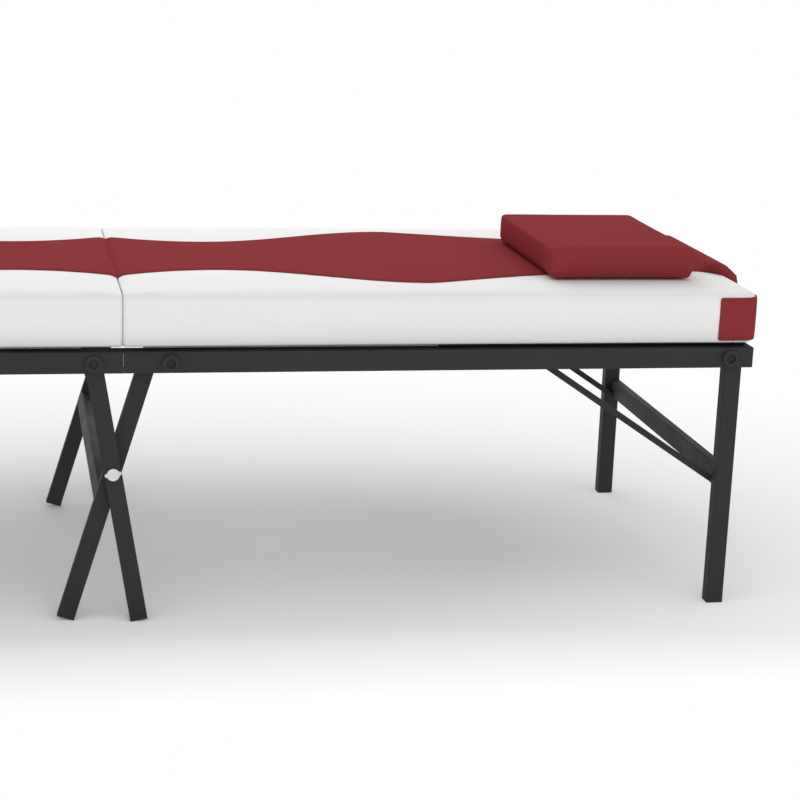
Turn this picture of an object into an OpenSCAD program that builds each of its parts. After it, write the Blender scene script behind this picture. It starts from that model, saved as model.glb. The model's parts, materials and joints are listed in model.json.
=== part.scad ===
// Folding massage bed: two cushioned halves on angle-iron rails, hinged at the middle.
// X runs along the bed (pillow end +X), Y across it, Z up. The origin is on the floor under the split.

/* [Frame] */
// Length of the unfolded frame
frame_l = 1860; // [1500:10:2200]
// Width over the two side rails
frame_w = 600; // [450:10:800]
// Height of the rails' top face above the floor
rail_top = 402; // [360:1:480]
// Height of a rail's outer flange
rail_h = 30; // [28:1:40]
// Width of a rail's top flange
rail_d = 30; // [28:1:45]
// Thickness of the angle iron
rail_t = 2.5; // [2:0.5:4]
// Gap between the two halves at the split
fold_gap = 0.3; // [0.2:0.1:2]
// Width of the flat cross slats
slat_w = 30; // [20:1:40]
// Thickness of the flat cross slats
slat_t = 5; // [3:0.5:5]

/* [Deck] */
// Thickness of the deck boards
board_t = 4; // [3:0.5:8]
// Step of the deck boards in from the rails' outer face
board_inset = 28; // [10:1:28]
// Place of the joint between the inner and the outer board
board_joint_x = 456; // [400:1:600]
// Open length left of the split without a board
board_start_foot = 57; // [40:1:70]
// Open length right of the split without a board
board_start_head = 29; // [25:1:70]

/* [Cushion] */
// Thickness of a cushion
cushion_t = 77; // [60:1:120]
// Step of the cushion in from the rails' outer face
cushion_inset = 14; // [5:1:40]
// Reach of the cushion past the end of the frame
cushion_overhang = 11; // [0:1:30]
// Radius of the outer corners in plan
cushion_corner_r = 25; // [10:1:60]
// Radius of the soft top edge
cushion_edge_r = 20; // [10:1:30]
// Radius of the bottom edge
cushion_base_r = 6; // [4:1:16]
// Rise of the crown above the rolled edge
crown = 3; // [1:0.5:8]
// Width over which the crown rises
crown_reach = 100; // [50:5:140]
// Depth to which the long sides are drawn in
draw_in = 2; // [0:0.5:6]

/* [Red band] */
// Thickness of the raised band
band_t = 5; // [4:0.5:12]
// Half width of the band at the split
band_split = 161; // [100:1:200]
// Half width at its first waist
band_waist = 115; // [80:1:200]
// Half width where it is widest
band_wide = 215; // [120:1:225]
// Half width at its waist under the pillow
band_neck = 120; // [80:1:200]
// Half width where it turns down over the end
band_end = 175; // [100:1:225]
// Height to which it runs down the end of the cushion, above the cushion's base
band_foot = 24; // [12:1:50]

/* [Corner patches] */
// Length of a corner patch along the side
patch_l = 63; // [30:1:100]
// Length that it wraps round onto the end
patch_wrap = 52; // [30:1:80]
// Thickness of a patch
patch_t = 1.6; // [1:0.1:3]

/* [Pillow] */
// Length of the pillow along the bed
pillow_l = 225; // [150:1:300]
// Width of the pillow across the bed
pillow_w = 320; // [250:1:450]
// Thickness of the pillow
pillow_t = 45; // [30:1:90]
// Distance of the pillow's middle from the frame's end
pillow_set = 178; // [140:1:330]
// Shift of the pillow towards the near side
pillow_shift = 40; // [-60:1:60]
// Edge radius of the pillow
pillow_r = 6; // [4:1:14]

/* [End legs] */
// Width of an end leg along the bed
leg_w = 26; // [20:1:30]
// Depth of an end leg across the bed
leg_d = 22; // [16:1:22]
// Wall of the leg tubes
tube_t = 1.5; // [1:0.1:2]
// Distance of the leg's middle from the frame's end
leg_set = 28; // [24:0.5:40]
// Distance of the leg's pivot from the frame's end
pivot_set = 36; // [32:0.5:50]
// Depth of all leg pivots below the rails' top face
pivot_drop = 15.5; // [15:0.5:18]
// Height of the leg crossbar's middle
leg_bar_z = 196; // [120:1:260]
// Height of the leg crossbar's section
leg_bar_h = 30; // [20:1:40]
// Depth of the leg crossbar's section
leg_bar_d = 15; // [10:1:15]

/* [Braces] */
// Width of a brace bar
brace_w = 9.5; // [8:0.5:10]
// Thickness of a brace bar
brace_t = 3; // [2:0.5:4]
// Distance of the lower brace pin from the frame's end
brace_pin_set = 35.5; // [35:0.5:45]
// Height of the lower brace pin
brace_pin_z = 188; // [120:1:230]
// Length along the bed from the lower to the upper brace pin
brace_reach = 288.5; // [240:0.5:330]
// Depth of the upper brace pin below the rails' top face
brace_top_drop = 22; // [20:1:26]
// Distance of the lower small rivet from the lower brace pin
brace_rivet_low = 66; // [40:1:110]
// Distance of the upper small rivet from the upper brace pin
brace_rivet_high = 100; // [40:1:110]

/* [Crossed legs] */
// Width of a crossed leg
x_leg_w = 25; // [20:1:25]
// Depth of a crossed leg
x_leg_d = 12; // [10:1:14]
// Distance of the outer pair's pivot from the split
outer_pivot_x = 41.5; // [38:0.5:50]
// Distance of the inner pair's pivot from the split
inner_pivot_x = 36.4; // [34:0.1:46]
// Lean of the outer pair from the vertical, in degrees
outer_lean = 9.7; // [6:0.1:14]
// Lean of the inner pair from the vertical, in degrees
inner_lean = 17; // [12:0.5:22]
// Distance of the crossbar below the crossing, along the inner leg
x_bar_drop = 38; // [30:1:80]
// Distance of the bracket rivet from the split
bracket_rivet_x = 66; // [62:1:80]

/* [Hidden] */
$fn = 48;

// Fits and clearances
cut = 1;                 // overrun of every cut
run_clear = 0.05;        // radial play of a turning joint
slide_clear = 0.4;       // play between flat faces that pass each other
soft_gap = 0.3;          // play between a soft piece and what it lies on
hinge_drop = 0.5;        // hinge axis below the rails' lower edge
leg_gap = 0.8;           // gap between the crossing legs
end_leg_gap = 0.7;       // gap between an end leg and its rail
x_leg_step = 7;          // crossed legs' outer face behind the rail's face
brace_gap = 1.2;         // gap between the inner legs' slot and the braces
axial_play = 0.2;        // end play of a turning joint

// Fasteners
rivet_r = 4;
rivet_head_r = 12;
rivet_head_h = 6;
rivet_dish_r = 7;
rivet_dish_h = 4;
washer_r = 8;
washer_h = 1.6;
nut_r = 7;
nut_h = 3.4;
stud_r = 5;
collar_r = 9;
small_pin_r = 3;
small_head_r = 5;
small_head_h = 1.2;
tick_r = 3.75;
tick_h = 0.8;
tick_shank_r = 1.9;
slider_head_h = 0.8;
bush_r = 5;
peen_r = 7;
peen_h = 2.2;
cap_r = 9;
cap_h = 3.4;
ear_r = 3;
ear_h = 1.8;
hinge_pin_r = 2;
hinge_eye_r = 3.5;
hinge_head_r = 3;
hinge_head_h = 1;

// Frame
half_l = frame_l / 2;
x_start = fold_gap / 2;
y_out = -frame_w / 2;
y_flange = y_out + rail_t;
y_toe = y_out + rail_d;
root_r = 2.5;
rail_bottom = rail_top - rail_h;
hinge_z = rail_bottom - hinge_drop;
pivot_z = rail_top - pivot_drop;
pivot_x = half_l - pivot_set;
under_flange = rail_top - rail_t;
board_half_w = -y_out - board_inset;
board_gap = 1;
board_end_set = 4;
board_top = rail_top + board_t;
slat_first_x = 95;
slat_last_set = 145;
slat_last_x = half_l - slat_last_set;

// Hinge blocks
hinge_block_x = 4;
hinge_block_l = 14;
hinge_block_rise = 1;
hinge_arm_t = 2.5;
hinge_eye_l = 5;
hinge_eye_n = 3;
y_hinge_in = y_toe;
y_hinge_out = y_hinge_in - hinge_eye_n * hinge_eye_l;

// End legs
leg_x = half_l - leg_set;
leg_x0 = leg_x - leg_w / 2;
leg_x1 = leg_x + leg_w / 2;
y_leg0 = y_flange + end_leg_gap;
y_leg1 = y_leg0 + leg_d;
tube_r = 2;
leg_head_r = 11;
leg_head_corner = 4;
plug_t = 2;
plug_in = 18;
bar_x1 = leg_x1;
bar_x0 = bar_x1 - leg_bar_d;

// Crossed legs: outer pair on the foot half, inner pair on the head half
y_outer0 = y_out + x_leg_step;
y_outer1 = y_outer0 + x_leg_d;
y_inner0 = y_outer1 + leg_gap;
y_inner1 = y_inner0 + x_leg_d;
cross_drop = (outer_pivot_x + inner_pivot_x) / (tan(outer_lean) + tan(inner_lean));
outer_to_cross = cross_drop / cos(outer_lean);
inner_to_cross = cross_drop / cos(inner_lean);
outer_len = (pivot_z - x_leg_w / 2 * sin(outer_lean)) / cos(outer_lean);
inner_len = (pivot_z - x_leg_w / 2 * sin(inner_lean)) / cos(inner_lean);
bracket_t = 2.5;
bracket_end = 13;
bracket_low = 3;

// Braces
y_brace0 = y_inner1 + brace_gap;
y_brace1 = y_brace0 + brace_t;
stiffener_t = 2;
y_stiff = y_brace1 + stiffener_t;
guide_t = 3;
y_guide0 = y_stiff + slide_clear;
y_guide1 = y_guide0 + guide_t;
brace_pin_x = half_l - brace_pin_set;
brace_top_z = rail_top - brace_top_drop;
brace_top_x = brace_pin_x - brace_reach;
brace_dx = brace_pin_x - brace_top_x;
brace_dz = brace_top_z - brace_pin_z;
brace_len = sqrt(brace_dx * brace_dx + brace_dz * brace_dz);
brace_angle = atan2(brace_dz, -brace_dx);
brace_rivets = [brace_rivet_low, brace_len - brace_rivet_high];
fold_pin_x = pivot_x - (pivot_z - brace_pin_z);
fold_pin_z = pivot_z - (brace_pin_x - pivot_x);
fold_slide_x = fold_pin_x - sqrt(brace_len * brace_len - pow(fold_pin_z - brace_top_z, 2));
slot_play = 1;
guide_margin = 10;
guide_low = 14;
slot_x0 = fold_slide_x - small_pin_r - slot_play;
slot_x1 = brace_top_x + small_pin_r + slot_play;
guide_x0 = slot_x0 - guide_margin;
guide_x1 = slot_x1 + guide_margin;
slat_starts = [
  slat_first_x, guide_x0 - guide_margin, board_joint_x - slat_w / 2,
  guide_x1 - slat_w + guide_margin, slat_last_x
];

// Cushion
cushion_z0 = board_top + soft_gap;
cushion_x1 = half_l + cushion_overhang;
cushion_half_w = -y_out - cushion_inset;
split_corner_r = 6;
split_share = 0.3;
corner_min = 4;
band_waist_share = 0.16;
band_wide_share = 0.484;
band_neck_share = 0.95;
band_taper_share = 0.6;
band_edge = 2.5;
patch_low = 5;
patch_high = 66;

// Pillow
pillow_z0 = cushion_z0 + cushion_t + band_t + soft_gap;
pillow_x = half_l - pillow_set;
pillow_crown = 2;
pillow_reach = 50;
pillow_corner_r = 12;
pillow_draw = 1.5;

// Colours
frame_grey = "#363636";
deck_grey = "#a8a8a8";
deck_black = "#1c1c1c";
foam_white = "#f0f0ee";
band_red = "#873338";
plug_black = "#202020";
zinc = "#c8ccd0";

// Points of an arc about c, in n steps
function arc(c, r, a0, a1, n) =
  [for (i = [0:n]) let(a = a0 + (a1 - a0) * i / n) [c.x + r * cos(a), c.y + r * sin(a)]];

// Outline of a rectangle about the origin with rounded corners
function round_rect(w, h, r) = concat(
  arc([w / 2 - r, h / 2 - r], r, 0, 90, 3),
  arc([r - w / 2, h / 2 - r], r, 90, 180, 3),
  arc([r - w / 2, r - h / 2], r, 180, 270, 3),
  arc([w / 2 - r, r - h / 2], r, 270, 360, 3)
);

// Triangles that join m rings of n points, closed by a fan at each end
function loft_faces(m, n) = concat(
  [for (j = [0:m - 2], i = [0:n - 1]) let(k = (i + 1) % n)
    [j * n + i, (j + 1) * n + i, (j + 1) * n + k]],
  [for (j = [0:m - 2], i = [0:n - 1]) let(k = (i + 1) % n)
    [j * n + i, (j + 1) * n + k, j * n + k]],
  [for (i = [0:n - 1]) [m * n, i, (i + 1) % n]],
  [for (i = [0:n - 1]) let(b = (m - 1) * n) [m * n + 1, b + (i + 1) % n, b + i]]
);

function mean(pts) = pts * [for (p = pts) 1] / len(pts);
function ring_mean(ring) = [for (k = [0:2]) mean([for (p = ring) p[k]])];

module loft(rings) {
  points = concat([for (r = rings, p = r) p], [ring_mean(rings[0]), ring_mean(rings[len(rings) - 1])]);
  polyhedron(points = points, faces = loft_faces(len(rings), len(rings[0])), convexity = 6);
}

module both_sides() {
  children();
  mirror([0, 1, 0]) children();
}

module far_side() mirror([0, 1, 0]) children();

module foot_half() mirror([1, 0, 0]) children();

// An outline in Y and Z, drawn out along X
module along_x(x, l) translate([x, 0, 0]) rotate([90, 0, 90]) linear_extrude(l) children();

// An outline in X and Z, drawn out along Y
module along_y(y0, y1) translate([0, y1, 0]) rotate([90, 0, 0]) linear_extrude(y1 - y0) children();

module pin(x, z, y0, y1, r, sides = 48)
  translate([x, y1, z]) rotate([90, 0, 0]) cylinder(h = y1 - y0, r = r, $fn = sides);

module box(x0, x1, y0, y1, z0, z1) translate([x0, y0, z0]) cube([x1 - x0, y1 - y0, z1 - z0]);

// Side rail: an angle iron with a root fillet, drilled for its rivets
module angle_outline() polygon(concat(
  [[y_out, rail_bottom], [y_flange, rail_bottom]],
  arc([y_flange + root_r, under_flange - root_r], root_r, 180, 90, 4),
  [[y_toe, under_flange], [y_toe, rail_top], [y_out, rail_top]]
));

module side_rail(hole_x) color(frame_grey) difference() {
  along_x(x_start, half_l - x_start) angle_outline();
  pin(hole_x, pivot_z, y_out - cut, y_flange + cut, rivet_r + run_clear);
  pin(pivot_x, pivot_z, y_out - cut, y_flange + cut, rivet_r + run_clear);
}

// End rail: the same angle between the side rails, its upright reaching under their top flanges
module end_rail() color(frame_grey) {
  x_face = half_l - rail_t;
  along_y(y_toe, -y_toe) polygon(concat(
    [[half_l, rail_bottom], [half_l, rail_top], [half_l - rail_d, rail_top]],
    [[half_l - rail_d, under_flange]],
    arc([x_face - root_r, under_flange - root_r], root_r, 90, 0, 4),
    [[x_face, rail_bottom]]
  ));
  along_x(x_face, rail_t) polygon([
    [y_flange, rail_bottom], [-y_flange, rail_bottom], [-y_flange, under_flange - root_r],
    [-y_flange - root_r, under_flange], [y_flange + root_r, under_flange],
    [y_flange, under_flange - root_r]
  ]);
}

// Flat bars let in flush between the rails' toes
module slats() color(frame_grey)
  for (x = slat_starts) box(x, x + slat_w, y_toe, -y_toe, rail_top - slat_t, rail_top);

module deck_board(x0, x1) box(x0, x1, -board_half_w, board_half_w, rail_top, board_top);

module deck_inner(start) color(deck_grey) deck_board(start, board_joint_x - board_gap / 2);

module deck_outer() color(deck_black)
  deck_board(board_joint_x + board_gap / 2, half_l - board_end_set);

// Hinge leaf: a block welded into the angle, with eyes round the fold axis
module hinge_leaf(eyes, play) difference() {
  union() {
    along_x(hinge_block_x, hinge_block_l) polygon([
      [y_flange, rail_bottom + hinge_block_rise], [y_hinge_in, rail_bottom + hinge_block_rise],
      [y_hinge_in, under_flange], [y_flange + root_r, under_flange],
      [y_flange, under_flange - root_r]
    ]);
    for (i = eyes) {
      y0 = y_hinge_out + i * hinge_eye_l + play;
      y1 = y_hinge_out + (i + 1) * hinge_eye_l - play;
      z1 = hinge_z + hinge_eye_r;
      box(0, hinge_block_x + hinge_arm_t, y0, y1, z1 - hinge_arm_t, z1);
      pin(0, hinge_z, y0, y1, hinge_eye_r);
    }
  }
  pin(0, hinge_z, y_hinge_out - cut, y_hinge_in + cut, hinge_pin_r + run_clear);
}

module hinge_leaves(eyes, play) color(frame_grey) both_sides() hinge_leaf(eyes, play);

module fold_pins() color(zinc) both_sides() {
  pin(0, hinge_z, y_hinge_out, y_hinge_in, hinge_pin_r);
  pin(0, hinge_z, y_hinge_out - hinge_head_h, y_hinge_out, hinge_head_r);
  pin(0, hinge_z, y_hinge_in, y_hinge_in + hinge_head_h, hinge_head_r);
}

// Dished rivet head on the rail's face
module dished_head(x) difference() {
  pin(x, pivot_z, y_out - rivet_head_h, y_out, rivet_head_r);
  pin(x, pivot_z, y_out - rivet_head_h - cut, y_out - rivet_head_h + rivet_dish_h, rivet_dish_r);
}

// Pivot bolt at x for a leg between y0 and y1, with a washer and a nut behind it
module pivot_bolt(x, y0, y1) {
  y_washer = y1 + axial_play;
  y_nut = y_washer + washer_h;
  dished_head(x);
  pin(x, pivot_z, y_out, y_nut + nut_h, rivet_r);
  pin(x, pivot_z, y_washer, y_nut, washer_r);
  pin(x, pivot_z, y_nut, y_nut + nut_h, nut_r, 6);
}

module end_pivots() color(frame_grey) both_sides() pivot_bolt(pivot_x, y_leg0, y_leg1);

module outer_pivots() color(frame_grey) both_sides() {
  pivot_bolt(outer_pivot_x, y_outer0, y_outer1);
  pin(outer_pivot_x, pivot_z, y_flange, y_outer0 - axial_play, washer_r);
}

// Bracket plate behind the rail that carries the inner legs' stud
module leg_brackets() color(frame_grey) both_sides() difference() {
  union() {
    box(inner_pivot_x - bracket_end, bracket_rivet_x + bracket_end, y_flange, y_flange + bracket_t,
      rail_bottom + bracket_low, under_flange - root_r);
    pin(inner_pivot_x, pivot_z, y_flange + bracket_t, y_inner0 - axial_play, collar_r);
    pin(inner_pivot_x, pivot_z, y_flange + bracket_t, y_inner1 + axial_play + small_head_h, stud_r);
    pin(inner_pivot_x, pivot_z, y_inner1 + axial_play, y_inner1 + axial_play + small_head_h,
      washer_r);
  }
  pin(bracket_rivet_x, pivot_z, y_flange - cut, y_flange + bracket_t + cut, rivet_r + run_clear);
}

module bracket_bolts() color(frame_grey) both_sides() {
  dished_head(bracket_rivet_x);
  pin(bracket_rivet_x, pivot_z, y_out, y_flange + bracket_t + peen_h, rivet_r);
  pin(bracket_rivet_x, pivot_z, y_flange + bracket_t, y_flange + bracket_t + peen_h, peen_r);
}

// Slotted strip under the slats in which a brace's upper pin runs
module brace_guides() color(frame_grey) both_sides() difference() {
  slot_r = small_pin_r + slot_play;
  box(guide_x0, guide_x1, y_guide0, y_guide1, brace_top_z - guide_low, rail_top - slat_t);
  box(slot_x0 + slot_r, slot_x1 - slot_r, y_guide0 - cut, y_guide1 + cut,
    brace_top_z - slot_r, brace_top_z + slot_r);
  for (x = [slot_x0 + slot_r, slot_x1 - slot_r])
    pin(x, brace_top_z, y_guide0 - cut, y_guide1 + cut, slot_r);
}

// End leg: a rectangular tube below the rail
module end_leg() color(frame_grey) difference() {
  y_mid = (y_leg0 + y_leg1) / 2;
  translate([leg_x, y_mid, plug_t]) linear_extrude(rail_bottom - plug_t) difference() {
    polygon(round_rect(leg_w, leg_d, tube_r));
    square([leg_w - 2 * tube_t, leg_d - 2 * tube_t], center = true);
  }
  pin(brace_pin_x, brace_pin_z, y_leg1 - tube_t - cut, y_leg1 + cut, small_pin_r + run_clear);
}

// Head of an end leg: a block that sits on the tube, plugs into it and turns on the pivot bolt
module leg_heads() color(frame_grey) both_sides() difference() {
  union() {
    along_y(y_leg0, y_leg1) polygon(concat(
      arc([pivot_x, pivot_z], leg_head_r, 90, 215, 10),
      [[leg_x0, rail_bottom], [leg_x1, rail_bottom]],
      arc([leg_x1 - leg_head_corner, pivot_z + leg_head_r - leg_head_corner],
        leg_head_corner, 0, 90, 4)
    ));
    box(leg_x0 + tube_t, leg_x1 - tube_t, y_leg0 + tube_t, y_leg1 - tube_t,
      rail_bottom - plug_in, rail_bottom + leg_head_corner);
  }
  pin(pivot_x, pivot_z, y_leg0 - cut, y_leg1 + cut, rivet_r + run_clear);
}

module leg_plugs() color(plug_black) both_sides() {
  y_mid = (y_leg0 + y_leg1) / 2;
  translate([leg_x, y_mid, 0]) linear_extrude(plug_t) polygon(round_rect(leg_w, leg_d, tube_r));
  box(leg_x0 + tube_t, leg_x1 - tube_t, y_leg0 + tube_t, y_leg1 - tube_t, 0, plug_in);
}

module leg_crossbar() color(frame_grey) along_y(y_leg1, -y_leg1)
  translate([(bar_x0 + bar_x1) / 2, leg_bar_z]) difference() {
    polygon(round_rect(leg_bar_d, leg_bar_h, tube_r));
    square([leg_bar_d - 2 * tube_t, leg_bar_h - 2 * tube_t], center = true);
  }

// Shouldered pin on an end leg that carries the lower end of a brace
module brace_pins() color(frame_grey) both_sides() {
  y_head = y_brace1 + axial_play;
  pin(brace_pin_x, brace_pin_z, y_leg1 - tube_t, y_head + small_head_h, small_pin_r);
  pin(brace_pin_x, brace_pin_z, y_leg1, y_brace0 - axial_play, bush_r);
  pin(brace_pin_x, brace_pin_z, y_head, y_head + small_head_h, small_head_r);
}

// Frame of a brace: its lower pin at the origin, its length along X
module at_brace() translate([brace_pin_x, 0, brace_pin_z]) rotate([0, -brace_angle, 0]) children();

module brace() color(frame_grey) at_brace() difference() {
  along_y(y_brace0, y_brace1) polygon(concat(
    arc([0, 0], brace_w / 2, 90, 270, 10),
    arc([brace_len, 0], brace_w / 2, -90, 90, 10)
  ));
  for (x = [0, brace_len]) pin(x, 0, y_brace0 - cut, y_brace1 + cut, small_pin_r + run_clear);
  for (x = brace_rivets)
    pin(x, 0, y_brace0 - cut, y_brace1 + cut, tick_shank_r + run_clear);
}

// Stiffening strip behind a brace with its two rivets
module brace_stiffeners() color(frame_grey) both_sides() at_brace() {
  box(brace_rivets[0] - tick_r, brace_rivets[1] + tick_r, y_brace1, y_stiff, -brace_w / 2,
    brace_w / 2);
  for (x = brace_rivets) {
    pin(x, 0, y_brace0 - tick_h, y_brace0, tick_r);
    pin(x, 0, y_brace0, y_stiff, tick_shank_r);
  }
}

module brace_sliders() color(frame_grey) both_sides() at_brace() {
  pin(brace_len, 0, y_brace0 - slider_head_h, y_brace0, small_head_r);
  pin(brace_len, 0, y_brace0, y_stiff, small_pin_r);
}

// Frames of the crossed legs: pivot at the origin, leg along -Z
module at_outer_leg() translate([-outer_pivot_x, 0, pivot_z]) rotate([0, -outer_lean, 0]) children();

module at_inner_leg() translate([inner_pivot_x, 0, pivot_z]) rotate([0, inner_lean, 0]) children();

// Flat tube with a closed round top end and a square foot
module x_leg(y0, y1, length, bore_r, cross) color(frame_grey) difference() {
  w = x_leg_w / 2;
  v = w - tube_t;
  along_y(y0, y1) polygon(concat([[-w, plug_t - length], [w, plug_t - length]], arc([0, 0], w, 0, 180, 16)));
  along_y(y0 + tube_t, y1 - tube_t)
    polygon(concat([[-v, -length], [v, -length]], arc([0, 0], v, 0, 180, 16)));
  pin(0, 0, y0 - cut, y1 + cut, bore_r + run_clear);
  pin(0, -cross, y0 - cut, y1 + cut, rivet_r + run_clear);
}

module x_leg_plug(y0, y1, length) {
  w = x_leg_w / 2;
  v = w - tube_t;
  box(-w, w, y0, y1, -length, plug_t - length);
  box(-v, v, y0 + tube_t, y1 - tube_t, -length, plug_in - length);
}

module outer_leg() at_outer_leg() x_leg(y_outer0, y_outer1, outer_len, rivet_r, outer_to_cross);

module inner_leg() at_inner_leg() x_leg(y_inner0, y_inner1, inner_len, stud_r, inner_to_cross);

module outer_plugs() color(plug_black) both_sides()
  at_outer_leg() x_leg_plug(y_outer0, y_outer1, outer_len);

module inner_plugs() color(plug_black) both_sides()
  at_inner_leg() x_leg_plug(y_inner0, y_inner1, inner_len);

module x_crossbar() color(frame_grey) at_inner_leg() along_y(y_inner1, -y_inner1)
  translate([0, -inner_to_cross - x_bar_drop]) difference() {
    polygon(round_rect(x_leg_w, x_leg_w, tube_r));
    square([x_leg_w - 2 * tube_t, x_leg_w - 2 * tube_t], center = true);
  }

// Bolt at the crossing: a low cap with two ears, its shank through the outer leg
module cross_bolts() color(zinc) both_sides() at_outer_leg() {
  pin(0, -outer_to_cross, y_outer0 - cap_h, y_outer0, cap_r);
  for (s = [-1, 1]) pin(s * cap_r, -outer_to_cross, y_outer0 - ear_h, y_outer0, ear_r);
  pin(0, -outer_to_cross, y_outer0, y_outer1 + axial_play, rivet_r);
}

// Its nut on the inner leg, with the bush that goes through that leg
module cross_nuts() color(zinc) both_sides() at_inner_leg() {
  pin(0, -inner_to_cross, y_inner0, y_inner1, rivet_r);
  pin(0, -inner_to_cross, y_inner1, y_inner1 + nut_h, nut_r, 6);
}

// Profile of a pad from its base to where its crown is full: [inset, height]
function base_arc(r) = [for (a = [0:30:90]) [r * (1 - sin(a)), r * (1 - cos(a))]];
function top_arc(t, r, rise, reach) = concat(
  [for (a = [0:15:75]) [r * (1 - cos(a)), t - rise - r * (1 - sin(a))]],
  [for (s = [0:1 / 3:1]) [r + (reach - r) * s, t - rise * pow(1 - s, 2)]]
);

// Plan outline of a pad from xa to xb, counter-clockwise from its near corner at xa
function pad_ring(xa, xb, h, ra, rb, nx, ny, pull, z) = let(
  lx = xb - rb - xa - ra,
  side = [for (i = [1:nx - 1]) [xa + ra + lx * i / nx, h - pull * sin(180 * i / nx)]],
  near = concat(
    arc([xa + ra, ra - h], ra, 180, 270, 4), [for (p = side) [p.x, -p.y]],
    arc([xb - rb, rb - h], rb, 270, 360, 4)
  ),
  back = [for (i = [len(near) - 1:-1:0]) [near[i].x, -near[i].y]],
  end_b = [for (i = [1:ny - 1]) [xb, (h - rb) * (2 * i / ny - 1)]],
  end_a = [for (i = [1:ny - 1]) [xa, (h - ra) * (1 - 2 * i / ny)]]
) [for (p = concat(near, end_b, back, end_a)) [p.x, p.y, z]];

module cushion() color(foam_white) {
  profile = concat(
    base_arc(cushion_base_r), top_arc(cushion_t, cushion_edge_r, crown, crown_reach)
  );
  loft([for (p = profile) pad_ring(
    x_start + split_share * p[0], cushion_x1 - p[0], cushion_half_w - p[0],
    max(split_corner_r - split_share * p[0], corner_min), max(cushion_corner_r - p[0], corner_min),
    12, 4, draw_in, cushion_z0 + p[1]
  )]);
}

// Half width of the red band at x
function band_half_w(x) = let(
  xw = band_waist_share * cushion_x1, xp = band_wide_share * cushion_x1,
  xn = band_neck_share * cushion_x1
) x < xw ? band_waist + (band_split - band_waist) * pow(1 - x / xw, 2)
  : x < xp ? band_waist + (band_wide - band_waist) * (1 - cos(180 * (x - xw) / (xp - xw))) / 2
  : x < xn ? band_wide + (band_neck - band_wide)
    * (1 - cos(180 * pow((x - xp) / (xn - xp), band_taper_share))) / 2
  : band_neck + (band_end - band_neck) * pow((x - xn) / (cushion_x1 - xn), 3);

// Line along the middle of the cushion that the band follows: up from the split, along, down
band_steps = 22;
top_line = top_arc(cushion_t, cushion_edge_r, crown, crown_reach);
flat_x0 = x_start + split_share * crown_reach;
flat_x1 = cushion_x1 - crown_reach;
band_line = concat(
  [for (i = [3:len(top_line) - 1]) [x_start + split_share * top_line[i][0],
    cushion_z0 + top_line[i][1]]],
  [for (i = [1:band_steps - 1]) [flat_x0 + (flat_x1 - flat_x0) * i / band_steps,
    cushion_z0 + cushion_t]],
  [for (i = [len(top_line) - 1:-1:0]) [cushion_x1 - top_line[i][0], cushion_z0 + top_line[i][1]]],
  [[cushion_x1, cushion_z0 + band_foot]]
);

function band_normal(i) = let(
  a = band_line[max(i - 1, 0)], b = band_line[min(i + 1, len(band_line) - 1)], t = b - a
) [-t.y, t.x] / norm(t);

module band() color(band_red) loft([for (i = [0:len(band_line) - 1]) let(
  p = band_line[i], n = band_normal(i), w = band_half_w(p.x), e = band_edge
) [for (q = [
    [-w, soft_gap], [w, soft_gap], [w, band_t - e], [w - e, band_t], [e - w, band_t],
    [-w, band_t - e]
  ]) [max(p.x + n.x * q[1], x_start), q[0], p.y + n.y * q[1]]]]);

// Inset of the cushion's side at height z
function side_inset(z) = let(shoulder = cushion_t - crown - cushion_edge_r)
  z < cushion_base_r ? cushion_base_r - sqrt(pow(cushion_base_r, 2) - pow(cushion_base_r - z, 2))
  : z > shoulder ? cushion_edge_r - sqrt(pow(cushion_edge_r, 2) - pow(z - shoulder, 2)) : 0;

// Plan of a patch round the near outer corner at inset d
function patch_plan(d) = let(
  r = max(cushion_corner_r - d, corner_min), x = cushion_x1 - d, y = cushion_half_w - d
) concat(
  [[cushion_x1 - patch_l, -y]], arc([x - r, r - y], r, 270, 360, 4),
  [[x, patch_wrap - cushion_half_w]]
);

module corner_patches() color(band_red) both_sides() {
  shoulder = cushion_t - crown - cushion_edge_r;
  heights = concat([patch_low, cushion_base_r, (cushion_base_r + shoulder) / 2],
    [for (a = [0:15:30]) shoulder + cushion_edge_r * sin(a)], [patch_high]);
  rows = len(heights) - 1;
  inner = [for (z = heights) patch_plan(side_inset(z) - soft_gap)];
  outer = [for (z = heights) patch_plan(side_inset(z) - soft_gap - patch_t)];
  loft([for (i = [0:len(inner[0]) - 1]) concat(
    [for (k = [0:rows]) [inner[k][i].x, inner[k][i].y, cushion_z0 + heights[k]]],
    [for (k = [rows:-1:0]) [outer[k][i].x, outer[k][i].y, cushion_z0 + heights[k]]]
  )]);
}

module head_pillow() color(band_red) translate([0, -pillow_shift, 0]) {
  profile = concat(base_arc(pillow_r), top_arc(pillow_t, pillow_r, pillow_crown, pillow_reach));
  loft([for (p = profile) let(r = max(pillow_corner_r - p[0], corner_min)) pad_ring(
    pillow_x - pillow_l / 2 + p[0], pillow_x + pillow_l / 2 - p[0], pillow_w / 2 - p[0],
    r, r, 8, 8, pillow_draw, pillow_z0 + p[1]
  )]);
}

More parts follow.
